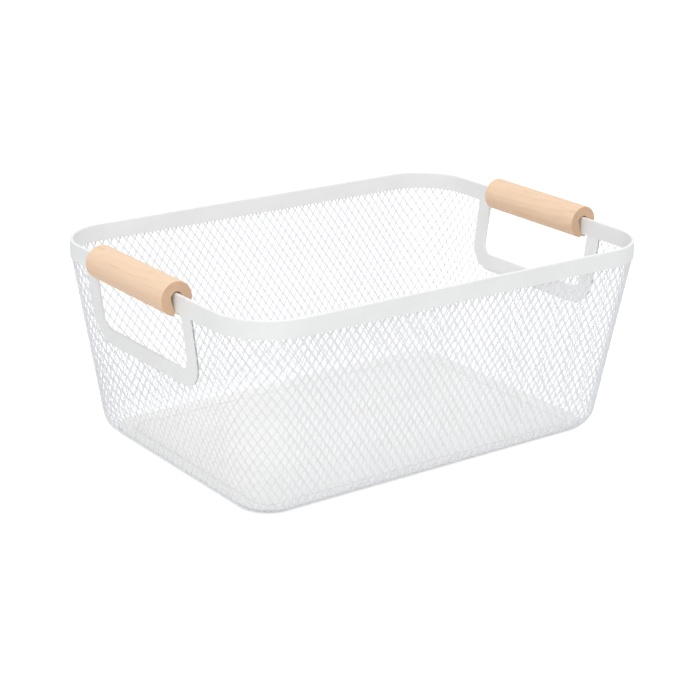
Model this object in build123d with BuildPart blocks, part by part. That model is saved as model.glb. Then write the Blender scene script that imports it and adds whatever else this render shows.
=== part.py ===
from build123d import *
import math
import os

os.makedirs("parts", exist_ok=True)

# A tapered storage basket, standing on the plane Z = 0 with its long side along X.
# One formed sheet of expanded steel makes the walls and curls in under the floor.
# A folded steel band covers its top edge, a shallow steel pan is the floor, and each
# end has a hand hole framed by two plates, with a grooved wooden grip on the band above.
# All sizes are in millimetres.

# Rim band: a strip folded over the top edge of the mesh, open below.
rim_length = 360.0
rim_width = 266.0
rim_corner = 43.0
rim_top = 149.0
rim_height = 13.0
rim_sheet = 0.5
rim_slot = 1.5
rim_fold_round = 0.7

# Where the straight walls would meet the table, before the curve at the floor.
floor_length = 322.0
floor_width = 222.0
floor_corner = 32.0
floor_curve = 18.0
floor_lip = 14.0

# Mesh sheet and its gaps. The solids have gaps of twice the real length and width.
mesh_thickness = 0.8
mesh_tuck = 1.6
lip_corner = 12.0
mesh_clearance = 0.15
gap_pitch = 13.6
gap_rise = 20.0
strand_width = 2.2
net_border = 2.5

# Openings in the curve of the mesh's foot, as a plain grid along each side and corner.
foot_gaps_long = 12
foot_gaps_end = 8
foot_gaps_corner = 2
foot_gap_rows = 2
foot_strand = 4.0

# Hand hole in each end wall, and the two plates that frame it. The hole takes what width
# the nets beside its frame leave of the wall's flat stretch. It sits a little off the
# middle of its wall: towards the back at the left end, towards the front at the right.
side_net_width = 17.0
left_hole_shift = 6.5
right_hole_shift = -2.5
hole_bottom = 95.0
hole_corner = 8.0
frame_width = 13.0
plate_thickness = 0.8
mesh_setback = 1.5

# Wooden grip: a dowel with a round-topped groove that narrows to a slot below. It sits over
# the band, which stands up through the slot, and ends a little inside the hand hole's sides.
grip_end_gap = 5.5
grip_diameter = 24.5
grip_end_round = 0.8
groove_width = 8.8
groove_top = 5.0
grip_seat_gap = 1.2
slot_side_gap = 0.6
slot_depth = 8.8

# Floor pan: a plate inside the mesh, with a bead round its flat floor and a sloping border.
pan_sheet = 0.6
pan_border_inset = 9.0
pan_border_gap = 0.1
bead_inset = 20.0
bead_width = 2.0
bead_height = 1.2
bead_round = 0.5

# How far cutting shapes run past what they cut.
cut_overrun = 20.0

# Sizes that follow from those above.
rim_bottom = rim_top - rim_height
rim_thickness = 2 * rim_sheet + rim_slot
mesh_top = rim_bottom + mesh_tuck
mesh_inset = rim_sheet + mesh_clearance
mesh_length = rim_length - 2 * mesh_inset
mesh_width = rim_width - 2 * mesh_inset
mesh_corner = rim_corner - mesh_inset
frame_bottom = hole_bottom - frame_width
end_lean = math.atan((mesh_length - floor_length) / 2 / mesh_top)
grip_axis_height = rim_top + grip_seat_gap - groove_top
grip_axis_reach = rim_length / 2 - rim_thickness / 2
slot_width = rim_thickness + 2 * slot_side_gap
mesh_hole_bottom = hole_bottom - mesh_setback
floor_hole_inset = floor_curve + floor_lip
pan_flat_inset = floor_curve * math.tan((math.pi / 2 - end_lean) / 2)
border_reach = pan_flat_inset - pan_border_inset
border_drop = math.sqrt((floor_curve - mesh_thickness) ** 2 - border_reach**2)
border_height = floor_curve - border_drop + pan_border_gap

ends = (("left", -1), ("right", 1))
sides = (("front", -1), ("back", 1))


def at_height(low, high, height):
    """A size of the leaning wall at a height, from its values at the table and the top."""
    return low + (high - low) * height / mesh_top


def flat_half_length(height):
    """Half the flat stretch of a long wall."""
    return at_height(floor_length / 2 - floor_corner, mesh_length / 2 - mesh_corner, height)


def flat_half_width(height):
    """Half the flat stretch of an end wall."""
    return at_height(floor_width / 2 - floor_corner, mesh_width / 2 - mesh_corner, height)


# Widths that follow from the flat stretch of an end wall at the foot of its hand hole.
frame_half = flat_half_width(mesh_hole_bottom) - side_net_width
hole_width = 2 * (frame_half - frame_width)
mesh_hole_half = hole_width / 2 + mesh_setback
grip_length = hole_width - 2 * grip_end_gap
hole_shifts = {"left": left_hole_shift, "right": right_hole_shift}


def up_slope(height):
    """Distance up a leaning end wall that reaches a height above the table."""
    return height / math.cos(end_lean)


def end_plane(side, depth):
    """Plane of an end wall's outer face, moved in by a depth; Y of the plane runs up it."""
    outward = Vector(side * math.cos(end_lean), 0, -math.sin(end_lean))
    face = Plane(origin=(side * floor_length / 2, 0, 0), x_dir=(0, side, 0), z_dir=outward)
    return face.offset(-depth)


def gap_places(bottom, centre_at, fits):
    """Centres of the staggered gaps above a height, whose four points all fit.

    The rows are laid out from a centre line, which may move sideways as it rises.
    """
    half_wide = (gap_pitch - strand_width) / 2
    half_tall = half_wide * gap_rise / gap_pitch
    columns = int(rim_length / gap_pitch) + 1
    rows = int(2 * rim_top / gap_rise) + 1
    places = []
    for row in range(rows):
        height = bottom + net_border + half_tall + row * gap_rise / 2
        for column in range(-columns, columns + 1):
            across = centre_at(height) + (column + row % 2 / 2) * gap_pitch
            points = ((across - half_wide, height), (across + half_wide, height),
                      (across, height - half_tall), (across, height + half_tall))
            if all(fits(*point) for point in points):
                places.append((across, height))
    return places


def gap_outline():
    """One gap between four strands, drawn about its own centre."""
    half_wide = (gap_pitch - strand_width) / 2
    half_tall = half_wide * gap_rise / gap_pitch
    Polygon((-half_wide, 0), (0, -half_tall), (half_wide, 0), (0, half_tall))


def middle(height):
    """The upright centre line of a wall."""
    return 0


def below_rim(height):
    """Whether a point is far enough under the band for a gap."""
    return height <= rim_bottom - net_border


def long_wall_fits(across, height):
    """Whether a point of a gap lies well inside the flat of a long wall."""
    return below_rim(height) and abs(across) <= flat_half_length(height) - net_border


def end_low_fits(across, height):
    """The same under the plates that frame the hand hole."""
    inside_flat = abs(across) <= flat_half_width(height) - net_border
    return height <= frame_bottom - net_border and inside_flat


def end_side_fits(shift, across, height):
    """The same beside the plates of a hole with its shift, above the piece under the hole."""
    inside_flat = abs(across) <= flat_half_width(height) - net_border
    beside_frame = abs(across - shift) >= frame_half + net_border
    above_low = height >= mesh_hole_bottom + net_border
    return below_rim(height) and inside_flat and beside_frame and above_low


def corner_line(end, side):
    """The level line that runs across a corner, square to its diagonal."""
    return Vector(0, 0, 1).cross(Vector(end, side, 0).normalized())


def corner_centre(end, side, height):
    """How far along that line the corner's own centre lies at a height."""
    centre = Vector(end * flat_half_length(height), side * flat_half_width(height), 0)
    return corner_line(end, side).dot(centre)


def corner_fits(end, side, across, height):
    """Whether a point of a gap lies well inside a corner, seen along its diagonal."""
    reach = at_height(floor_corner, mesh_corner, height) * math.sin(math.pi / 4)
    return below_rim(height) and abs(across - corner_centre(end, side, height)) <= reach - net_border


def formed_tub(inset, lift, curve):
    """A closed tub with leaning walls, round corners and a curve into its floor."""
    with BuildPart() as tub:
        for height in (lift, mesh_top):
            with BuildSketch(Plane.XY.offset(height)):
                RectangleRounded(
                    at_height(floor_length, mesh_length, height) - 2 * inset,
                    at_height(floor_width, mesh_width, height) - 2 * inset,
                    at_height(floor_corner, mesh_corner, height) - inset,
                )
        loft(ruled=True)
        fillet(tub.faces().sort_by(Axis.Z)[0].edges(), curve)
    return tub.part


def floor_shape(height, inset):
    """A rounded rectangle at a height, set in from the floor's outline."""
    with BuildSketch(Plane.XY.offset(height)) as shape:
        RectangleRounded(floor_length - 2 * inset, floor_width - 2 * inset, floor_corner - inset)
    return shape.sketch


def foot_gap_grid(outward, place, span, count):
    """Cuts a grid of openings through the curve of the foot, centred above a floor point."""
    across_pitch = span / count
    up_pitch = math.sqrt(2) * floor_curve / foot_gap_rows
    face = Plane(
        origin=place + Vector(0, 0, floor_curve / 2),
        x_dir=Vector(0, 0, 1).cross(outward),
        z_dir=outward - Vector(0, 0, 1),
    )
    with BuildSketch(face) as grid:
        with GridLocations(across_pitch, up_pitch, count, foot_gap_rows):
            Rectangle(across_pitch - foot_strand, up_pitch - foot_strand)
    extrude(grid.sketch, amount=floor_curve, both=True, mode=Mode.SUBTRACT)


def finish(piece, name):
    """Labels a piece and writes it to its own file."""
    piece.label = name
    export_step(piece, f"parts/{name}.step")
    print(name, len(piece.solids()), "solid,", round(piece.volume), "cubic mm")


# The whole mesh sheet before its gaps are opened. Its pieces are cut from this one form.
tub_outside = formed_tub(0, 0, floor_curve)
tub_inside = formed_tub(mesh_thickness, mesh_thickness, floor_curve - mesh_thickness)

with BuildPart() as mesh_sheet:
    add(tub_outside)
    add(tub_inside, mode=Mode.SUBTRACT)
    with BuildSketch(Plane.XY.offset(-cut_overrun)):
        RectangleRounded(
            floor_length - 2 * floor_hole_inset,
            floor_width - 2 * floor_hole_inset,
            lip_corner,
        )
    extrude(amount=2 * cut_overrun, mode=Mode.SUBTRACT)

# Foot of the mesh: the curve from the walls into the floor, and the lip under the pan. Its
# openings are cut square to the middle of the curve, side by side and corner by corner.
foot_corner_span = math.sqrt(2) * (floor_corner - floor_curve / 2)
foot_grids = [
    (Vector(end, 0, 0), floor_length / 2, 2 * flat_half_width(0), foot_gaps_end)
    for _, end in ends
]
foot_grids += [
    (Vector(0, side, 0), floor_width / 2, 2 * flat_half_length(0), foot_gaps_long)
    for _, side in sides
]
with BuildPart() as mesh_foot:
    add(mesh_sheet.part)
    split(bisect_by=Plane.XY.offset(floor_curve), keep=Keep.BOTTOM)
    for outward, reach, span, count in foot_grids:
        foot_gap_grid(outward, outward * (reach - floor_curve / 2), span, count)
    for _, end in ends:
        for _, side in sides:
            outward = Vector(end, side, 0).normalized()
            centre = Vector(end * flat_half_length(0), side * flat_half_width(0), 0)
            place = centre + outward * (floor_corner - floor_curve / 2)
            foot_gap_grid(outward, place, foot_corner_span, foot_gaps_corner)
finish(mesh_foot.part, "mesh_foot")

# Front and back walls: the flat stretch between the corners.
net_top = mesh_top + cut_overrun
for side_name, side in sides:
    with BuildPart() as long_wall:
        add(mesh_sheet.part)
        with BuildSketch(Plane.XZ):
            Polygon(
                (-flat_half_length(floor_curve), floor_curve),
                (flat_half_length(floor_curve), floor_curve),
                (flat_half_length(net_top), net_top),
                (-flat_half_length(net_top), net_top),
                align=None,
            )
        extrude(amount=-side * rim_width, mode=Mode.INTERSECT)
        with BuildSketch(Plane.XZ):
            with Locations(*gap_places(floor_curve, middle, long_wall_fits)):
                gap_outline()
        extrude(amount=-side * rim_width, mode=Mode.SUBTRACT)
    finish(long_wall.part, f"mesh_{side_name}")

# End walls, each in three pieces around its hand hole: one below it and one each side.
for end_name, end in ends:
    shift = hole_shifts[end_name]
    low_outline = (
        (-flat_half_width(floor_curve), floor_curve),
        (flat_half_width(floor_curve), floor_curve),
        (flat_half_width(mesh_hole_bottom), mesh_hole_bottom),
        (-flat_half_width(mesh_hole_bottom), mesh_hole_bottom),
    )
    pieces = [("low", low_outline, gap_places(floor_curve, middle, end_low_fits))]
    for side_name, side in sides:
        side_outline = (
            (shift + side * mesh_hole_half, mesh_hole_bottom),
            (side * flat_half_width(mesh_hole_bottom), mesh_hole_bottom),
            (side * flat_half_width(net_top), net_top),
            (shift + side * mesh_hole_half, net_top),
        )
        side_places = gap_places(
            mesh_hole_bottom,
            lambda height: (shift + side * (frame_half + flat_half_width(height))) / 2,
            lambda across, height: end_side_fits(shift, across, height),
        )
        pieces.append((side_name, side_outline, side_places))
    for piece_name, outline, places in pieces:
        with BuildPart() as end_wall:
            add(mesh_sheet.part)
            with BuildSketch(Plane.YZ):
                Polygon(*outline, align=None)
            extrude(amount=end * rim_length, mode=Mode.INTERSECT)
            if places:
                with BuildSketch(Plane.YZ):
                    with Locations(*places):
                        gap_outline()
                extrude(amount=end * rim_length, mode=Mode.SUBTRACT)
        finish(end_wall.part, f"mesh_{end_name}_{piece_name}")

# Corners of the mesh, each between two flat stretches.
for end_name, end in ends:
    for side_name, side in sides:
        diagonal = Plane(origin=(0, 0, 0), x_dir=corner_line(end, side), z_dir=(end, side, 0))
        corner_places = gap_places(
            floor_curve,
            lambda height: corner_centre(end, side, height),
            lambda across, height: corner_fits(end, side, across, height),
        )
        with BuildPart() as corner:
            add(mesh_sheet.part)
            with BuildSketch(Plane.XZ.offset(-rim_width)):
                Polygon(
                    (end * flat_half_length(floor_curve), floor_curve),
                    (end * rim_length, floor_curve),
                    (end * rim_length, net_top),
                    (end * flat_half_length(net_top), net_top),
                    align=None,
                )
            extrude(amount=2 * rim_width, mode=Mode.INTERSECT)
            with BuildSketch(Plane.YZ.offset(-rim_length)):
                Polygon(
                    (side * flat_half_width(floor_curve), floor_curve),
                    (side * rim_width, floor_curve),
                    (side * rim_width, net_top),
                    (side * flat_half_width(net_top), net_top),
                    align=None,
                )
            extrude(amount=2 * rim_length, mode=Mode.INTERSECT)
            with BuildSketch(diagonal):
                with Locations(*corner_places):
                    gap_outline()
            extrude(amount=rim_length, mode=Mode.SUBTRACT)
        finish(corner.part, f"mesh_corner_{end_name}_{side_name}")


def rim_outline(inset):
    """The band's outline, moved in from its outer face."""
    RectangleRounded(rim_length - 2 * inset, rim_width - 2 * inset, rim_corner - inset)


# Rim band: a ring with a slot from below, in which the mesh's top edge stands.
with BuildPart() as rim_band:
    with BuildSketch(Plane.XY.offset(rim_bottom)):
        rim_outline(0)
        with BuildSketch(Plane.XY.offset(rim_bottom), mode=Mode.SUBTRACT):
            rim_outline(rim_thickness)
    extrude(amount=rim_height)
    fillet(rim_band.faces().sort_by(Axis.Z)[-1].edges(), rim_fold_round)
    with BuildSketch(Plane.XY.offset(rim_bottom)):
        rim_outline(rim_sheet)
        with BuildSketch(Plane.XY.offset(rim_bottom), mode=Mode.SUBTRACT):
            rim_outline(rim_sheet + rim_slot)
    extrude(amount=rim_height - rim_sheet, mode=Mode.SUBTRACT)
finish(rim_band.part, "rim_band")

# Frames round the hand holes: a plate on each face of the mesh, butted to the band.
frame_rise = up_slope(rim_top + cut_overrun) - up_slope(frame_bottom)
hole_rise = up_slope(rim_top + 2 * cut_overrun) - up_slope(hole_bottom)
for end_name, end in ends:
    across = end * hole_shifts[end_name]
    for plate_name, depth in (("outer", -plate_thickness), ("inner", mesh_thickness)):
        with BuildPart() as frame_plate:
            with BuildSketch(end_plane(end, depth)):
                with Locations((across, up_slope(frame_bottom) + frame_rise / 2)):
                    RectangleRounded(2 * frame_half, frame_rise, hole_corner + frame_width)
                with Locations((across, up_slope(hole_bottom) + hole_rise / 2)):
                    RectangleRounded(hole_width, hole_rise, hole_corner, mode=Mode.SUBTRACT)
            extrude(amount=-plate_thickness)
            split(bisect_by=Plane.XY.offset(rim_bottom), keep=Keep.BOTTOM)
        finish(frame_plate.part, f"hand_frame_{end_name}_{plate_name}")

# Floor pan: a plate on the mesh's lip. Its border slopes up along the curve of the foot, and
# a bead stands up round its flat floor.
with BuildPart() as floor_pan:
    low = floor_shape(mesh_thickness, pan_flat_inset)
    high = floor_shape(border_height, pan_border_inset)
    loft([low, high], ruled=True)
    extrude(high, amount=pan_sheet)
    low_top = floor_shape(mesh_thickness + pan_sheet, pan_flat_inset)
    high_top = floor_shape(border_height + pan_sheet, pan_border_inset)
    loft([low_top, high_top], ruled=True, mode=Mode.SUBTRACT)
    with BuildPart() as bead:
        bead_outside = floor_shape(mesh_thickness, bead_inset)
        bead_inside = floor_shape(mesh_thickness, bead_inset + bead_width)
        extrude(bead_outside, amount=pan_sheet + bead_height)
        extrude(bead_inside, amount=pan_sheet + bead_height, mode=Mode.SUBTRACT)
        fillet(bead.faces().sort_by(Axis.Z)[-1].edges(), bead_round)
finish(floor_pan.part, "floor_pan")

# Grips: a dowel along each end of the band, with the band up in its groove. The groove is the
# hull of a wide round above and a narrow one below the dowel's middle, and opens down a slot.
for end_name, end in ends:
    grip_back = grip_length / 2 + hole_shifts[end_name]
    with BuildPart() as grip:
        with BuildSketch(Plane.XZ.offset(-grip_back)):
            with Locations((end * grip_axis_reach, grip_axis_height)):
                Circle(grip_diameter / 2)
        extrude(amount=grip_length)
        fillet(grip.edges().filter_by(GeomType.CIRCLE), grip_end_round)
        with BuildSketch(Plane.XZ.offset(-grip_back - cut_overrun)):
            with Locations((end * grip_axis_reach, grip_axis_height + groove_top - groove_width / 2)):
                Circle(groove_width / 2)
            with Locations((end * grip_axis_reach, grip_axis_height - slot_depth)):
                Circle(slot_width / 2)
            make_hull()
            with Locations((end * grip_axis_reach, grip_axis_height - slot_depth)):
                Rectangle(slot_width, grip_diameter, align=(Align.CENTER, Align.MAX))
        extrude(amount=grip_length + 2 * cut_overrun, mode=Mode.SUBTRACT)
    finish(grip.part, f"grip_{end_name}")
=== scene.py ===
# %% [markdown]
# A tapered storage basket of white expanded-steel mesh, with a folded band round its rim, a
# solid floor pan, a framed hand hole in each end and two wooden grips. The sizes come from
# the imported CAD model, which is loaded as a fixed frame. Everything made here sits in that
# frame, in metres, with Z up and the basket standing on Z = 0.

# %% Load the frame
import math

import bpy
import numpy as np
from mathutils import Matrix, Vector


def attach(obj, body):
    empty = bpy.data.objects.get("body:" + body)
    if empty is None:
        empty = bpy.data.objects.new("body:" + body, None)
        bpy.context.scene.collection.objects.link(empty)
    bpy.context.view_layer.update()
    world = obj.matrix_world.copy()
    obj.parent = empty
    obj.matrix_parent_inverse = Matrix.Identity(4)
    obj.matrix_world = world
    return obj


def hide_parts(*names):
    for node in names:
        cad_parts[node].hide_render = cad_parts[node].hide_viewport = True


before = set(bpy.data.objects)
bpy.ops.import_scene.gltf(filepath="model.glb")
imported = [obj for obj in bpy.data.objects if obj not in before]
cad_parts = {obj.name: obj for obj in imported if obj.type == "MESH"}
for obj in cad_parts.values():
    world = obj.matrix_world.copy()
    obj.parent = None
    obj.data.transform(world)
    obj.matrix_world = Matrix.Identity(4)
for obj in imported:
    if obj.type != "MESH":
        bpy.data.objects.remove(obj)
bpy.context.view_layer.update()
print("nodes", len(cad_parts))

# %% [markdown]
# The mesh and the hand frames are made anew here, so their main sizes are needed as numbers.
# They repeat the CAD model's values, in millimetres, and `mm` turns them into metres.

# %% Sizes shared with the CAD model
mm = 0.001

rim_length = 360 * mm
rim_width = 266 * mm
rim_corner = 43 * mm
rim_top = 149 * mm
rim_bottom = 136 * mm

floor_length = 322 * mm
floor_width = 222 * mm
floor_corner = 32 * mm
floor_curve = 18 * mm
lip_inset = 32 * mm
lip_corner = 12 * mm

mesh_top = 137.6 * mm
mesh_inset = 0.65 * mm
mesh_sheet = 0.8 * mm
mesh_length = rim_length - 2 * mesh_inset
mesh_width = rim_width - 2 * mesh_inset
mesh_corner = rim_corner - mesh_inset

hole_half = 56.5 * mm
hole_shifts = {"left": 6.5 * mm, "right": -2.5 * mm}
hole_bottom = 95 * mm
hole_corner = 8 * mm
frame_width = 13 * mm
plate = 0.8 * mm

end_lean = math.atan((mesh_length - floor_length) / 2 / mesh_top)
print("end walls lean", round(math.degrees(end_lean), 2), "degrees")

# %% [markdown]
# The camera stands where the photograph was taken from: to the left of the front, a little
# above the rim, with a long lens. Its place came from a fit to the rim, the wall outlines
# and the hand holes. A matrix is built from the view direction, and then rolled slightly.

# %% Camera
camera_azimuth = math.radians(-36.715)
camera_elevation = math.radians(19.553)
camera_roll = math.radians(0.973)
camera_distance = 1391.147 * mm
camera_target = Vector((-1.26 * mm, 0.94 * mm, 60.654 * mm))
camera_lens = 95.586
camera_sensor = 36
far_clip = 50

towards_camera = Vector((
    math.sin(camera_azimuth) * math.cos(camera_elevation),
    -math.cos(camera_azimuth) * math.cos(camera_elevation),
    math.sin(camera_elevation),
))
level_right = Vector((0, 0, 1)).cross(towards_camera).normalized()
level_up = towards_camera.cross(level_right)
right = level_right * math.cos(camera_roll) + level_up * math.sin(camera_roll)
up = level_up * math.cos(camera_roll) - level_right * math.sin(camera_roll)
turn = Matrix((right, up, towards_camera)).transposed().to_4x4()

camera = bpy.data.objects.new("camera", bpy.data.cameras.new("camera"))
camera.data.lens = camera_lens
camera.data.sensor_width = camera_sensor
camera.data.clip_end = far_clip
camera.matrix_world = Matrix.Translation(camera_target + towards_camera * camera_distance) @ turn
bpy.context.scene.collection.objects.link(camera)
bpy.context.scene.camera = camera
bpy.context.scene.view_settings.view_transform = "Standard"
print("camera at", [round(v, 3) for v in camera.location])

# %% [markdown]
# The photograph is a bright cut-out on pure white, lit softly from all sides with most of
# the light from above. A plain white world gives the even part, and rays that reach it from
# the camera or a reflection see plain white instead, at a strength of one. A Light Path node
# tells the rays apart, and taking the largest of its three answers joins them.

# %% World
even_tint = (0.965, 0.98, 1.0, 1)
even_strength = 0.655
white = (1, 1, 1, 1)


def link_math(tree, operation, *values):
    """A Math node on values that are sockets or plain numbers."""
    node = tree.nodes.new("ShaderNodeMath")
    node.operation = operation
    for socket, value in zip(node.inputs, values):
        if isinstance(value, bpy.types.NodeSocket):
            tree.links.new(value, socket)
        else:
            socket.default_value = value
    return node.outputs[0]


def link_background(tree, tint, strength):
    """An even light from all round."""
    background = tree.nodes.new("ShaderNodeBackground")
    background.inputs["Color"].default_value = tint
    background.inputs["Strength"].default_value = strength
    return background.outputs[0]


world = bpy.data.worlds.new("studio")
bpy.context.scene.world = world
world.use_nodes = True
sky = world.node_tree
sky.nodes.clear()
sky_out = sky.nodes.new("ShaderNodeOutputWorld")
sky_path = sky.nodes.new("ShaderNodeLightPath").outputs
seen = link_math(sky, "MAXIMUM", sky_path["Is Camera Ray"], sky_path["Is Glossy Ray"])
seen = link_math(sky, "MAXIMUM", seen, sky_path["Is Transmission Ray"])
sky_mix = sky.nodes.new("ShaderNodeMixShader")
sky.links.new(seen, sky_mix.inputs["Fac"])
sky.links.new(link_background(sky, even_tint, even_strength), sky_mix.inputs[1])
sky.links.new(link_background(sky, white, 1.0), sky_mix.inputs[2])
sky.links.new(sky_mix.outputs[0], sky_out.inputs["Surface"])
print("world nodes", len(sky.nodes))

# %% [markdown]
# One wide lamp overhead, a little to the front, makes the strands that face up bright and
# leaves those that face down dark. Two weaker ones, at the left and in front on the right,
# give the walls their small differences. All three are large squares, so that the shadows
# stay as soft as in the photograph, and all point at the middle of the basket.

# %% Lamps
lamps = (
    # Name, place in metres, edge in metres, power in watts.
    ("lamp_above", (-0.35, -0.65, 2.1), 1.6, 22.6),
    ("lamp_left", (-2.2, -1.1, 0.8), 1.2, 6.5),
    ("lamp_right", (2.0, -1.6, 1.2), 1.2, 2.5),
)
basket_middle = Vector((0, 0, rim_top / 2))

for name, place, edge, power in lamps:
    data = bpy.data.lights.new(name, "AREA")
    data.shape = "SQUARE"
    data.size = edge
    data.energy = power
    lamp = bpy.data.objects.new(name, data)
    lamp.location = place
    away = Vector(place) - basket_middle
    lamp.rotation_euler = away.to_track_quat("Z", "Y").to_euler()
    bpy.context.scene.collection.objects.link(lamp)
    print(name, power, "W")

# %% [markdown]
# The floor is a wide plain sheet. Its colour is a pale white that catches the basket's soft
# shadow. For rays that the camera sees, a little light of its own lifts the open floor to
# pure white, as in the photograph, and leaves the shadow in place.

# %% Floor
floor_reach = 8.0
floor_tint = (0.87, 0.87, 0.87, 1)
floor_lift = 0.455

floor_corners = ((-1, -1), (1, -1), (1, 1), (-1, 1))
floor_mesh = bpy.data.meshes.new("floor")
floor_mesh.from_pydata(
    [(x * floor_reach, y * floor_reach, 0) for x, y in floor_corners], [], [(0, 1, 2, 3)]
)
floor = bpy.data.objects.new("floor", floor_mesh)
bpy.context.scene.collection.objects.link(floor)

floor_material = bpy.data.materials.new("floor_white")
floor_material.use_nodes = True
tree = floor_material.node_tree
tree.nodes.clear()
floor_out = tree.nodes.new("ShaderNodeOutputMaterial")
floor_paint = tree.nodes.new("ShaderNodeBsdfDiffuse")
floor_paint.inputs["Color"].default_value = floor_tint
floor_glow = tree.nodes.new("ShaderNodeEmission")
floor_glow.inputs["Color"].default_value = white
floor_path = tree.nodes.new("ShaderNodeLightPath")
glow_seen = link_math(tree, "MULTIPLY", floor_path.outputs["Is Camera Ray"], floor_lift)
floor_sum = tree.nodes.new("ShaderNodeAddShader")
tree.links.new(glow_seen, floor_glow.inputs["Strength"])
tree.links.new(floor_paint.outputs[0], floor_sum.inputs[0])
tree.links.new(floor_glow.outputs[0], floor_sum.inputs[1])
tree.links.new(floor_sum.outputs[0], floor_out.inputs["Surface"])
floor_mesh.materials.append(floor_material)
print("floor reaches", floor_reach, "m each way")

# %% [markdown]
# Both finishes, the coat on the steel and the wood of the grips, are a clear film over
# something coloured, and are built from the same few steps: a noise of a given grain size, a
# value spread over a range, two colours mixed by an amount, and a height that ripples the
# surface. Each step gets a small function here, so that a material further on reads as a
# list of what the finish does.

# %% Steps of a finish
clear_film_ior = 1.5


def new_finish(name):
    """A material with its node tree, its shader and the coordinates its textures lie in."""
    material = bpy.data.materials.new(name)
    material.use_nodes = True
    tree = material.node_tree
    shader = tree.nodes["Principled BSDF"]
    shader.inputs["IOR"].default_value = clear_film_ior
    return material, tree, shader, tree.nodes.new("ShaderNodeTexCoord").outputs


def link_noise(tree, coords, size, detail, name):
    """A noise texture with grains about `size` metres across and `detail` finer levels."""
    noise = tree.nodes.new("ShaderNodeTexNoise")
    noise.name = name
    noise.inputs["Scale"].default_value = 1 / size
    noise.inputs["Detail"].default_value = detail
    tree.links.new(coords, noise.inputs["Vector"])
    return noise.outputs


def link_range(tree, value, low, high, name):
    """Spreads a value between 0 and 1 over the range from low to high."""
    spread = tree.nodes.new("ShaderNodeMapRange")
    spread.name = name
    spread.inputs["To Min"].default_value = low
    spread.inputs["To Max"].default_value = high
    tree.links.new(value, spread.inputs["Value"])
    return spread.outputs["Result"]


def link_tint(tree, under, over, amount, name):
    """Mixes the colour `over` into the colour `under`, which may be a socket, by an amount."""
    mix = tree.nodes.new("ShaderNodeMix")
    mix.name = name
    mix.data_type = "RGBA"
    mix.inputs["B"].default_value = over
    if isinstance(under, bpy.types.NodeSocket):
        tree.links.new(under, mix.inputs["A"])
    else:
        mix.inputs["A"].default_value = under
    tree.links.new(amount, mix.inputs["Factor"])
    return mix.outputs["Result"]


def link_surface(tree, shader, tint, rough, height, depth):
    """Gives the shader its colour and roughness, and a height that ripples it in metres."""
    tree.links.new(tint, shader.inputs["Base Color"])
    tree.links.new(rough, shader.inputs["Roughness"])
    bump = tree.nodes.new("ShaderNodeBump")
    bump.inputs["Strength"].default_value = 1.0
    bump.inputs["Distance"].default_value = depth
    tree.links.new(height, bump.inputs["Height"])
    tree.links.new(bump.outputs["Normal"], shader.inputs["Normal"])


print("steps of a finish: noise, range, tint and surface")

# %% [markdown]
# The steel is powder coated: a baked plastic film that levels out while it melts. It is
# satin, never quite flat, and shows a fine orange-peel ripple, half a millimetre across or a
# little more, with slow drifts in tint and gloss where the film is thicker. One function
# makes the coat, so that the mesh and the sheet pieces can have their own ripple and tint.

# %% Powder coat
film_drift = 38 * mm
# A noise keeps near its middle, so its range is widened to reach both tints.
film_range = (-0.6, 1.6)
satin_drift = 9 * mm
satin_swing = 0.08


def powder_coat(name, thin, thick, ripple, ripple_depth, satin):
    """Baked coat between two close tints, with orange peel and a drifting satin sheen."""
    material, tree, shader, coords = new_finish(name)
    coords = coords["Object"]
    film = link_noise(tree, coords, film_drift, 2, "film_thickness")["Fac"]
    share = link_range(tree, film, *film_range, "tint_spread")
    tint = link_tint(tree, (*thin, 1), (*thick, 1), share, "film_tint")
    drift = link_noise(tree, coords, satin_drift, 3, "satin_drift")["Fac"]
    rough = link_range(tree, drift, satin - satin_swing, satin + satin_swing, "gloss_spread")
    peel = link_noise(tree, coords, ripple, 2, "orange_peel")["Fac"]
    link_surface(tree, shader, tint, rough, peel, ripple_depth)
    return material


mesh_coat = powder_coat(
    "mesh_coat", thin=(0.852, 0.86, 0.877), thick=(0.882, 0.89, 0.907),
    ripple=0.5 * mm, ripple_depth=0.012 * mm, satin=0.45,
)
sheet_coat = powder_coat(
    "sheet_coat", thin=(0.83, 0.83, 0.82), thick=(0.87, 0.87, 0.86),
    ripple=0.7 * mm, ripple_depth=0.010 * mm, satin=0.42,
)
# Painted light: the band's white paint, made a shade lighter and warmer against the mesh's
# shade.
pan_coat_painted_light = powder_coat(
    "pan_coat_painted_light", thin=(0.85, 0.845, 0.83), thick=(0.89, 0.885, 0.87),
    ripple=0.8 * mm, ripple_depth=0.012 * mm, satin=0.48,
)
print("coats", mesh_coat.name, sheet_coat.name, pan_coat_painted_light.name)

# %% [markdown]
# The grips are sanded beech with a clear matt coat. Beech is pale, with growth rings that
# show as long soft streaks on the side of a dowel and as arcs on its end, and with short
# dark flecks, its rays, strewn along the grain. A solid texture in the object's own space
# gives both for free, as the dowel is cut out of the same pattern on all sides.
#
# Everything long and thin in wood is an even pattern with its space squeezed along the
# grain, so one function moves, turns and squeezes the texture space. A mark on the wood is
# three numbers: the value it starts at, the value it is full at, and how strong it then is.

# %% Wood space and marks
beech_pale = (0.89, 0.66, 0.47, 1)
beech_warm = (0.76, 0.485, 0.305, 1)
beech_dark = (0.56, 0.33, 0.18, 1)


def wood_space(tree, coords, squeeze, shift=(0, 0, 0), turn=(0, 0, 0)):
    """Texture space moved, turned, and squeezed along Y, where the grain runs."""
    mapping = tree.nodes.new("ShaderNodeMapping")
    mapping.vector_type = "POINT"
    mapping.inputs["Location"].default_value = shift
    mapping.inputs["Rotation"].default_value = turn
    mapping.inputs["Scale"].default_value = (1, squeeze, 1)
    tree.links.new(coords, mapping.inputs["Vector"])
    return mapping.outputs["Vector"]


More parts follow.
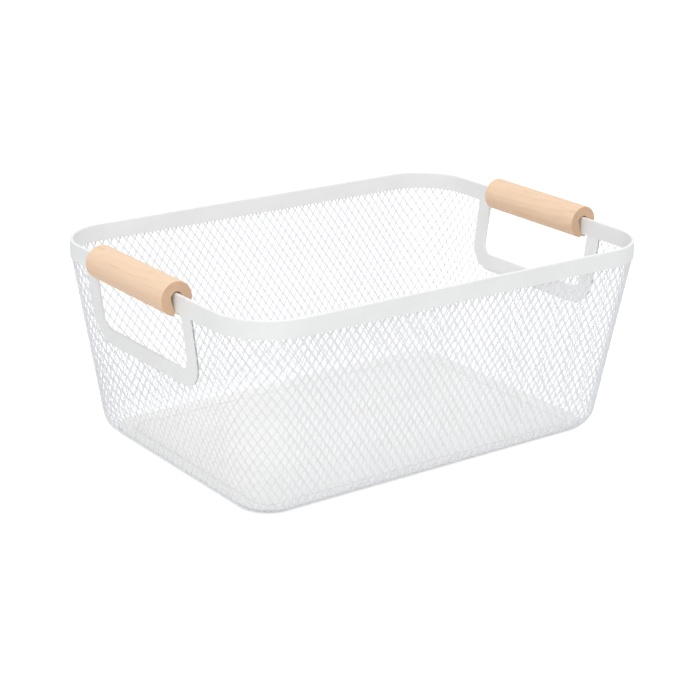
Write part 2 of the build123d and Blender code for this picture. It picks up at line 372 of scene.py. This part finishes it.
def link_mark(tree, under, over, value, mark, name, streak=1):
    """Mixes the colour `over` into the wood where the value has passed the mark's start."""
    start, full, strength = mark
    mask = tree.nodes.new("ShaderNodeMapRange")
    mask.name = f"{name}_mask"
    mask.inputs["From Min"].default_value = start
    mask.inputs["From Max"].default_value = full
    mask.inputs["To Max"].default_value = strength * streak
    tree.links.new(value, mask.inputs["Value"])
    return link_tint(tree, under, over, mask.outputs["Result"], f"{name}_tint")


print("beech tints", beech_pale[:3], beech_warm[:3], beech_dark[:3])

# %% [markdown]
# A tree adds one ring a year, pale at first and then slowly darker until it stops for the
# winter. A saw-toothed wave in rings round the pith does the same. The real rings wander, so
# the space is pushed about by a slow noise before the wave is laid in it. The pith lies
# outside the dowel, as in boards sawn from the side of a log.

# %% Growth rings
ring_width = 4.8 * mm
ring_contrast = (-0.3, 1.6)
wobble_size = 11 * mm
wobble_reach = 9 * mm
cloud_size = 8 * mm
# Blender's wave repeats at this distance when its scale is 1.
wave_length = math.pi / 10


def wobbled_space(tree, grain, slow):
    """The wood's space, pushed about so that the rings wander."""
    wobble = link_noise(tree, slow, wobble_size, 2, "ring_wobble")["Color"]
    push = tree.nodes.new("ShaderNodeVectorMath")
    push.operation = "SCALE"
    push.inputs["Scale"].default_value = wobble_reach
    tree.links.new(wobble, push.inputs[0])
    wobbled = tree.nodes.new("ShaderNodeVectorMath")
    wobbled.operation = "ADD"
    tree.links.new(grain, wobbled.inputs[0])
    tree.links.new(push.outputs[0], wobbled.inputs[1])
    return wobbled.outputs[0]


def growth_rings(tree, wobbled, slow, streak):
    """Pale to warm across each ring, stronger in some places than in others."""
    rings = tree.nodes.new("ShaderNodeTexWave")
    rings.wave_type = "RINGS"
    rings.rings_direction = "Y"
    rings.wave_profile = "SAW"
    rings.inputs["Scale"].default_value = wave_length / ring_width
    rings.inputs["Distortion"].default_value = 0.0
    tree.links.new(wobbled, rings.inputs["Vector"])
    weak, strong = ring_contrast
    cloud = link_noise(tree, slow, cloud_size, 2, "cloud")["Fac"]
    strength = link_range(tree, cloud, weak * streak, strong * streak, "cloud_spread")
    share = link_math(tree, "MULTIPLY", rings.outputs["Fac"], strength)
    return link_tint(tree, beech_pale, beech_warm, share, "ring_tint")


print("rings", round(ring_width / mm, 1), "mm wide")

# %% [markdown]
# Over the rings come the marks that run along the grain. The fibres give all of it a fine
# streaky tone, here and there a longer dark line follows the rings, and short ray flecks lie
# scattered between. Each is a noise in a space squeezed by its own share: the smaller the
# share, the longer the mark.

# %% Marks along the grain
fibre_width = 0.4 * mm
fibre_squeeze = 0.035
fibre_range = (-0.1, 0.35)
line_width = 1.6 * mm
line_squeeze = 0.03
line_shift = (0, 0.31, 0)
line_mark = (0.63, 0.75, 0.8)
fleck_width = 0.42 * mm
fleck_squeeze = 0.16
fleck_mark = (0.62, 0.72, 0.14)


def grain_marks(tree, tint, grain, wobbled, fibre, streak):
    """Lays the fibres, the dark lines and the ray flecks over the rings."""
    fibre_share = link_range(tree, fibre, *fibre_range, "fibre_spread")
    tint = link_tint(tree, tint, beech_warm, fibre_share, "fibre_tint")
    line_space = wood_space(tree, wobbled, line_squeeze, line_shift)
    lines = link_noise(tree, line_space, line_width, 1, "dark_lines")["Fac"]
    tint = link_mark(tree, tint, beech_dark, lines, line_mark, "line", streak)
    fleck_space = wood_space(tree, grain, fleck_squeeze)
    flecks = link_noise(tree, fleck_space, fleck_width, 1, "ray_flecks")["Fac"]
    return link_mark(tree, tint, beech_dark, flecks, fleck_mark, "fleck")


for mark, width in (("fibres", fibre_width), ("lines", line_width), ("flecks", fleck_width)):
    print(mark, round(width / mm, 2), "mm wide")

# %% [markdown]
# Some faces of a grip look different. The underside has painted shade: a warmer, darker tone.
# The ends are cut across the fibres, drink more of the coat and look darker.
# The object's own normal tells where both are: the underside points down along Z, and the
# ends point along Y, one each way.

# %% Underside and ends
# Painted shade: the underside is mixed towards the warm tint as its normal turns down.
underside_shade_mark = (0.3, -0.8, 0.62)
end_mark = (0.6, 0.95, 0.55)


def underside_shade_and_end_grain(tree, tint, normal):
    """Paints shade on the underside, warmer and darker, and darkens the cut ends."""
    facing = tree.nodes.new("ShaderNodeSeparateXYZ")
    tree.links.new(normal, facing.inputs[0])
    # Painted shade on the underside.
    tint = link_mark(tree, tint, beech_warm, facing.outputs["Z"], underside_shade_mark, "below")
    along_grain = link_math(tree, "ABSOLUTE", facing.outputs["Y"])
    return link_mark(tree, tint, beech_dark, along_grain, end_mark, "end")


print("underside from", underside_shade_mark[0], "to", underside_shade_mark[1], "of the normal's Z")

# %% [markdown]
# The finish of a grip puts these together. The fibres carry the sheen and a fine relief as
# well, as sanding polishes what stands up and leaves the pores between rougher. Each grip
# has its own pith and its own strength of streaks, so that the two are not twins.

# %% Beech
grain_turn = (math.radians(2.5), 0, math.radians(-2.0))
slow_squeeze = 0.22
sheen_range = (0.62, 0.46)
fibre_relief = 0.03 * mm


def beech(name, pith, streak):
    """Beech with growth rings round an axis along Y through the pith, given as X and Z.

    The streak, from 0 to 1, is how strongly the rings and the dark lines between them show.
    """
    material, tree, shader, coords = new_finish(name)

    # The grain is slightly askew, so the streaks taper off as they do on real stock.
    grain = wood_space(tree, coords["Object"], 1, (-pith[0], 0, -pith[1]), grain_turn)
    slow = wood_space(tree, grain, slow_squeeze)
    wobbled = wobbled_space(tree, grain, slow)
    fibre_space = wood_space(tree, grain, fibre_squeeze)
    fibre = link_noise(tree, fibre_space, fibre_width, 3, "fibre")["Fac"]

    tint = growth_rings(tree, wobbled, slow, streak)
    tint = grain_marks(tree, tint, grain, wobbled, fibre, streak)
    tint = underside_shade_and_end_grain(tree, tint, coords["Normal"])
    rough = link_range(tree, fibre, *sheen_range, "sheen_spread")
    link_surface(tree, shader, tint, rough, fibre, fibre_relief)
    return material


grip_woods = (
    # Node, pith as X and Z in metres, strength of the streaks.
    ("grip_left", (-0.196, 0.112), 0.28),
    ("grip_right", (0.150, 0.124), 0.45),
)
for node, pith, streak in grip_woods:
    wood = beech(f"beech_{node}", pith, streak)
    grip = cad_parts[node]
    grip.data.materials.clear()
    grip.data.materials.append(wood)
    print(node, "is", wood.name)

# %% [markdown]
# The band and the floor pan are right as the CAD model has them, down to the round fold of
# the band's top edge and the bead on the pan. So their shapes stay and only get a coat. The
# pan's is the same white paint, with painted light: a shade lighter and warmer, to make up for
# the mesh's shade over it between the strands.

# %% Coat the sheet pieces
for node, coat in (("rim_band", sheet_coat), ("floor_pan", pan_coat_painted_light)):
    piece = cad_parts[node]
    piece.data.materials.clear()
    piece.data.materials.append(coat)
    print(node, "has", coat.name)

# %% [markdown]
# Expanded metal starts as a flat sheet with rows of short slits. Pulled sideways, the slits
# open into diamonds, and each bond between two slits tips over, one edge out and one in. So
# the strands that rise to the right face a little upwards and those that fall face
# downwards, which is why one set looks darker in the photograph. An image or a bump could
# not show that from the side, so every strand is real geometry here.
#
# The sheet is a grid wrapped round the tub: columns of diamonds round it, and rows from the
# lip under the pan, through the curve of the foot, up to the band. First comes the plan of
# one level of the tub, a rounded rectangle, with the columns shared out along it.

# %% Plan of the tub
cells_long = 39
cells_end = 25
cells_corner = 9
columns = 2 * (cells_long + cells_end) + 4 * cells_corner
quarter_turn = math.pi / 2


def outline(length, width, corner, column):
    """Points and outward directions of a rounded rectangle, by column from the right end on."""
    place = np.zeros((len(column), 2))
    outward = np.zeros((len(column), 2))
    start = -cells_end / 2
    half_flat = (length / 2 - corner, width / 2 - corner)
    for quarter in range(4):
        # Each quarter is one flat and the corner after it.
        angle = quarter * quarter_turn
        ahead = np.array([math.cos(angle), math.sin(angle)]).round()
        across = np.array([-ahead[1], ahead[0]])
        cells = cells_end if quarter % 2 == 0 else cells_long
        reach, flat = half_flat if quarter % 2 == 0 else half_flat[::-1]
        on_flat = (column >= start) & (column < start + cells)
        share = ((column[on_flat] - start) / cells * 2 - 1)[:, None]
        place[on_flat] = ahead * (reach + corner) + across * flat * share
        outward[on_flat] = ahead
        start += cells
        on_corner = (column >= start) & (column < start + cells_corner)
        angle = ((column[on_corner] - start) / cells_corner * quarter_turn)[:, None]
        direction = ahead * np.cos(angle) + across * np.sin(angle)
        place[on_corner] = ahead * reach + across * flat + direction * corner
        outward[on_corner] = direction
        start += cells_corner
    return place, outward


print("columns", columns)

# %% [markdown]
# Next the levels. A row on the lip lies flat, a row on the curve turns up with it, and a row
# on the wall follows the straight slope from the floor outline to the rim outline. As the
# corners lean more than the flats, the angle that the curve has to turn through is worked
# out for each column by itself.

# %% The tub's surface
rows_lip = 3
rows_curve = 5
rows_wall = 25
rows_below_wall = rows_lip + rows_curve
rows = rows_below_wall + rows_wall


def tub_surface(column, row):
    """Places on the outside of the sheet, for arrays of columns and rows."""
    column = (np.asarray(column, float) + cells_end / 2) % columns - cells_end / 2
    row = np.asarray(row, float)
    low, outward = outline(floor_length, floor_width, floor_corner, column)
    high, _ = outline(mesh_length, mesh_width, mesh_corner, column)
    lip, _ = outline(
        floor_length - 2 * lip_inset, floor_width - 2 * lip_inset, lip_corner, column
    )
    spread = high - low
    slope = (spread * outward).sum(1) / mesh_top
    turn_angle = quarter_turn - np.arctan(slope)
    tangent = floor_curve * np.tan(turn_angle / 2)
    sideways = spread - outward * (slope * mesh_top)[:, None]
    foot = low - outward * tangent[:, None]

    on_lip = np.clip(row / rows_lip, None, 1)[:, None]
    flat_place = lip + (foot - lip) * on_lip

    angle = np.clip((row - rows_lip) / rows_curve, 0, 1) * turn_angle
    curve_height = floor_curve * (1 - np.cos(angle))
    curve_place = foot + outward * (floor_curve * np.sin(angle))[:, None]
    curve_place = curve_place + sideways * (curve_height / mesh_top)[:, None]

    wall_start = floor_curve * (1 - np.cos(turn_angle))
    on_wall = (row - rows_below_wall) / rows_wall
    wall_height = wall_start + (mesh_top - wall_start) * on_wall
    wall_place = low + spread * (wall_height / mesh_top)[:, None]

    is_lip, is_wall = row < rows_lip, row > rows_below_wall
    place = np.where(is_lip[:, None], flat_place, curve_place)
    place = np.where(is_wall[:, None], wall_place, place)
    height = np.where(is_lip, 0, curve_height)
    height = np.where(is_wall, wall_height, height)
    return np.column_stack([place, height])


def surface_and_normal(column, row):
    """Places on the outside of the sheet with their outward normals."""
    step = 0.01
    column, row = np.asarray(column, float), np.asarray(row, float)
    place = tub_surface(column, row)
    along = tub_surface(column + step, row) - tub_surface(column - step, row)
    rise = tub_surface(column, row + step) - tub_surface(column, row - step)
    normal = np.cross(along, rise)
    normal /= np.linalg.norm(normal, axis=1)[:, None]
    return place, normal


back_middle = cells_end / 2 + cells_corner + cells_long / 2
back_top = tub_surface(np.array([back_middle]), np.array([float(rows)]))
print("rows", rows, "and the top of the back wall is at", back_top.round(4).tolist())

# %% [markdown]
# Now the cells. Each diamond is a frame of eight faces round a hole with eight corners: four
# strand halves and four tips. The left tip of each hole is pushed out and the right tip in,
# which tips the bonds over as the press did: fully on the walls, and hardly at all under the
# foot, where the sheet was pressed flat again.

# %% The hole in a cell
strand_width = 0.93 * mm
strand_thickness = 0.40 * mm
strand_round = 0.06 * mm
tilt_wall = 0.60 * mm
tilt_foot = 0.06 * mm
bond_half = 0.6 * mm
tip_half = 0.3 * mm
# The smallest hole, as a share of its cell, and the most that its tips may be blunted.
smallest_hole = 0.3
most_blunting = 0.35


def tilt_at(row):
    """How far the bonds tip over on a row."""
    share = np.clip((row - rows_lip) / rows_curve, 0, 1)
    return tilt_foot + (tilt_wall - tilt_foot) * share


def hole_ring(column, row):
    """The eight corners of one hole, as columns, rows and shares of the tilt."""
    ends = np.array([column - 0.5, column + 0.5, column, column])
    levels = np.array([row, row, row - 1, row + 1], float)
    west, east, south, north = tub_surface(ends, levels)
    half_wide = np.linalg.norm(east - west) / 2
    half_tall = np.linalg.norm(north - south) / 2
    strand = math.hypot(half_wide, half_tall)
    strand_share = strand_width / 2 * strand / (half_wide * half_tall)
    size = max(1 - strand_share, smallest_hole)
    bond = min(bond_half / half_tall, size * most_blunting)
    tip = min(tip_half / half_wide, size * most_blunting)
    side, end = size - bond, size - tip
    ring = (
        (-side, -bond), (-tip, -end), (tip, -end), (side, -bond),
        (side, bond), (tip, end), (-tip, end), (-side, bond),
    )
    return [(column + x / 2, row + y, -x / size) for x, y in ring]


print("strand", strand_width / mm, "by", strand_thickness / mm, "mm")

# %% [markdown]
# Neighbouring cells share the points where strands meet, so the whole sheet is one closed
# skin. Each point is kept as a column, a row and a depth, and each front point knows the back
# point behind it. The places in space are worked out for all points at once, further on.

# %% Points of the sheet
point_columns, point_rows, point_depths = [], [], []
crossings = {}
back_of = {}


def add_point(column, row, depth, tilt_share=0.0):
    """Adds a point by its place in the grid and its depth, and gives its number."""
    point_columns.append(column)
    point_rows.append(row)
    point_depths.append(depth + tilt_share * float(tilt_at(row)))
    return len(point_columns) - 1


def crossing(half_column, row):
    """The front and back points where strands meet, made once and then shared."""
    key = (half_column % (2 * columns), row)
    if key not in crossings:
        front = add_point(key[0] / 2, row, strand_thickness / 2)
        back_of[front] = add_point(key[0] / 2, row, -strand_thickness / 2)
        crossings[key] = (front, back_of[front])
    return crossings[key]


print("a crossing reaches", strand_thickness / 2 / mm, "mm to either side")

# %% [markdown]
# One cell is four crossings and a ring of eight points round its hole, on the front and on
# the back. Its outer faces are the strand halves and the tips, and the walls of the hole
# join the front ring to the back ring. Along the top edge and along the lip only half of a
# cell is there, and its ring is cut off level.

# %% One cell
faces = []
edge_depth = strand_thickness / 2 - strand_round
# The ring's points are numbered 0 to 7, and the four crossings follow them.
WEST, SOUTH, EAST, NORTH = 8, 9, 10, 11
strand_corners = (
    (WEST, 7, 6, NORTH), (SOUTH, 1, 0, WEST), (EAST, 3, 2, SOUTH), (NORTH, 5, 4, EAST),
)
tip_corners = ((WEST, 0, 7), (SOUTH, 2, 1), (EAST, 4, 3), (NORTH, 6, 5))


def add_cell(half_column, row):
    """Adds the points and faces of the diamond round one place of the grid."""
    lower_half_only = row == rows
    upper_half_only = row == 0
    west, east = crossing(half_column - 1, row), crossing(half_column + 1, row)
    south = (None, None) if upper_half_only else crossing(half_column, row - 1)
    north = (None, None) if lower_half_only else crossing(half_column, row + 1)
    ring = hole_ring(half_column / 2, row)
    cut_off = ()
    if lower_half_only:
        ring = [(c, min(r, row), t) for c, r, t in ring]
        cut_off = (4, 5, 6)
    if upper_half_only:
        ring = [(c, max(r, row), t) for c, r, t in ring]
        cut_off = (0, 1, 2)
    front = [add_point(c, r, edge_depth, t) for c, r, t in ring]
    back = [add_point(c, r, -edge_depth, t) for c, r, t in ring]
    back_of.update(zip(front, back))
    front += [pair[0] for pair in (west, south, east, north)]
    back += [pair[1] for pair in (west, south, east, north)]
    for corners in strand_corners + tip_corners:
        if all(front[i] is not None for i in corners):
            faces.append([front[i] for i in corners])
            faces.append([back[i] for i in reversed(corners)])
    for i in range(8):
        if i not in cut_off:
            j = (i + 1) % 8
            faces.append([front[i], front[j], back[j], back[i]])


print("outer faces of a cell", 2 * len(strand_corners + tip_corners))

# %% [markdown]
# Cells that touch a hand hole are left out. The frames, made further on, hide their ragged
# edge, so the cells need not be cut along the hole.

# %% All cells
hole_margin = 1.5 * mm


def inside_hand_hole(place):
    """Whether a place on the sheet is inside one of the two hand holes."""
    x, y, z = place
    if abs(x) < rim_length / 2 - rim_corner or z < hole_bottom - hole_margin:
        return False
    middle = hole_shifts["left" if x < 0 else "right"]
    return abs(y - middle) < hole_half + hole_margin


cell_count = 0
for row in range(rows + 1):
    for half_column in range(row % 2, 2 * columns, 2):
        around = tub_surface(
            np.array([half_column - 1, half_column + 1, half_column, half_column]) / 2,
            np.array([row, row, max(row - 1, 0), min(row + 1, rows)], float),
        )
        if not any(inside_hand_hole(place) for place in around):
            add_cell(half_column, row)
            cell_count += 1
print("cells", cell_count, "points", len(point_columns), "faces", len(faces))

# %% [markdown]
# Where cells were left out, and along the ends of the half cells, the front and back skins
# are still open. Every edge of the front that only one face uses is joined to its partner on
# the back, so that the sheet is closed all round, as a solid strand is.

# %% Close the open edges
edge_users = {}
for face in faces:
    for first, second in zip(face, face[1:] + face[:1]):
        edge_users.setdefault(frozenset((first, second)), []).append((first, second))
closed = 0
for users in edge_users.values():
    first, second = users[0]
    if len(users) == 1 and first in back_of and second in back_of:
        faces.append([second, first, back_of[first], back_of[second]])
        closed += 1
print("open edges closed", closed)

# %% [markdown]
# With places and normals for all points, the sheet can be made. It is drawn in the middle of
# the CAD sheet's thickness and stands for all of the CAD model's mesh pieces. Edges sharper
# than 45 degrees stay crisp under smooth shading, so the strands keep their flat faces.

# %% Make the mesh
crisp_angle = math.radians(45)


def make_piece(name, points, faces, material, replaced):
    """A smooth mesh piece that rides on the basket and stands for some CAD nodes."""
    mesh = bpy.data.meshes.new(name)
    mesh.from_pydata([tuple(point) for point in points], [], faces)
    mesh.materials.append(material)
    mesh.polygons.foreach_set("use_smooth", [True] * len(mesh.polygons))
    mesh.update()
    mesh.set_sharp_from_angle(angle=crisp_angle)
    piece = bpy.data.objects.new(name, mesh)
    bpy.context.scene.collection.objects.link(piece)
    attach(piece, "root")
    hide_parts(*replaced)
    print(name, "points", len(mesh.vertices), "faces", len(mesh.polygons))


place, normal = surface_and_normal(point_columns, point_rows)
depth = np.array(point_depths) - mesh_sheet / 2
points = place + normal * depth[:, None]
used = sorted({i for face in faces for i in face})
number = {old: new for new, old in enumerate(used)}
mesh_faces = [[number[i] for i in face] for face in faces]
mesh_nodes = [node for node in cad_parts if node.startswith("mesh_")]
make_piece("mesh_body", points[used], mesh_faces, mesh_coat, mesh_nodes)

# %% [markdown]
# Each hand hole is framed by steel on both faces of the mesh. At the hole the steel is
# rounded over, so that no cut strand can touch a hand. One section, a flat U with a round
# fold, is swept down one leg, round the corners and up the other leg, in the plane of the
# leaning wall. Its legs end level, against the band.

# %% Section of a hand frame
fold_radius = (2 * plate + mesh_sheet) / 2
fold_steps = 10
frame_edge_round = 0.25 * mm
mesh_edge = fold_radius + 0.2 * mm
flat_shares = (0.25, 0.5, 0.75)
inner_face = -mesh_sheet - plate

# Pairs of distance from the hole's edge and height over the sheet's outer face.
section = [(frame_width, 0.0), (frame_width, plate - frame_edge_round)]
section += [(frame_width - frame_edge_round, plate)]
section += [(frame_width * share, plate) for share in reversed(flat_shares)]
for step in range(fold_steps + 1):
    angle = quarter_turn + math.pi * step / fold_steps
    section.append((
        fold_radius + fold_radius * math.cos(angle),
        fold_radius * math.sin(angle) - mesh_sheet / 2,
    ))
section += [(frame_width * share, inner_face) for share in flat_shares]
section += [(frame_width - frame_edge_round, inner_face)]
section += [(frame_width, inner_face + frame_edge_round), (frame_width, -mesh_sheet)]
section += [(mesh_edge, -mesh_sheet), (mesh_edge, 0.0)]
print("section points", len(section))

# %% [markdown]
# The path follows the hole's edge. A station on it says where the edge is, on the wall, and
# which way the frame lies from there. The last number is for the legs alone: the share by
# which a station is pulled up towards the band, whose lower edge is level while the wall
# leans, so that the leg's end can't be square to the path.

# %% Path of a hand frame
corner_steps = 14
leg_shares = (1.0, 0.66, 0.33)
bar_shares = (0.66, 0.33)


def frame_path():
    """Stations along the hole's edge: place across and up the wall, and direction away."""
    low = hole_bottom / math.cos(end_lean)
    corner_across, corner_up = hole_half - hole_corner, low + hole_corner
    halves = []
    for side in (-1, 1):
        leg = [(side * hole_half, corner_up, side, 0.0, share) for share in leg_shares]
        bend = []
        for step in range(corner_steps + 1):
            angle = quarter_turn * step / corner_steps
            away = (side * math.cos(angle), -math.sin(angle))
            across = side * corner_across + hole_corner * away[0]
            bend.append((across, corner_up + hole_corner * away[1], *away, 0.0))
        bar = [(side * corner_across * share, low, 0.0, -1.0, 0.0) for share in bar_shares]
        halves.append(leg + bend + bar)
    centre = [(0.0, low, 0.0, -1.0, 0.0)]
    return halves[0] + centre + halves[1][::-1]


path = frame_path()
print("stations", len(path))

# %% [markdown]
# The sweep lays the section across each station and tilts it with the wall. The left frame's
# points are the right one's, mirrored in X, so its faces are the ones that turn the right
# way, and the right frame gets them turned over.


# %% Sweep the frames
def frame_points(side, shift):
    """The swept section on the wall at one end; side is -1 on the left and 1 on the right."""
    lean_sin, lean_cos = math.sin(end_lean), math.cos(end_lean)
    points = []
    for across, up_wall, away_across, away_up, leg_share in path:
        for out, over in section:
            y = across + away_across * out
            h = up_wall + away_up * out
            leg_top = (rim_bottom + over * lean_sin) / lean_cos
            h += (leg_top - h) * leg_share
            x = floor_length / 2 + h * lean_sin + over * lean_cos
            points.append((side * x, y + shift, h * lean_cos - over * lean_sin))
    return points


ring = len(section)
last = (len(path) - 1) * ring
frame_faces = []
for low in range(0, last, ring):
    high = low + ring
    for i in range(ring):
        j = (i + 1) % ring
        frame_faces.append([low + i, low + j, high + j, high + i])
frame_faces.append(list(range(ring))[::-1])
frame_faces.append([last + i for i in range(ring)])

for end, side in (("left", -1), ("right", 1)):
    make_piece(
        f"hand_frame_{end}",
        frame_points(side, hole_shifts[end]),
        frame_faces if side < 0 else [face[::-1] for face in frame_faces],
        sheet_coat,
        [f"hand_frame_{end}_outer", f"hand_frame_{end}_inner"],
    )

# %% Finish
bpy.context.view_layer.update()
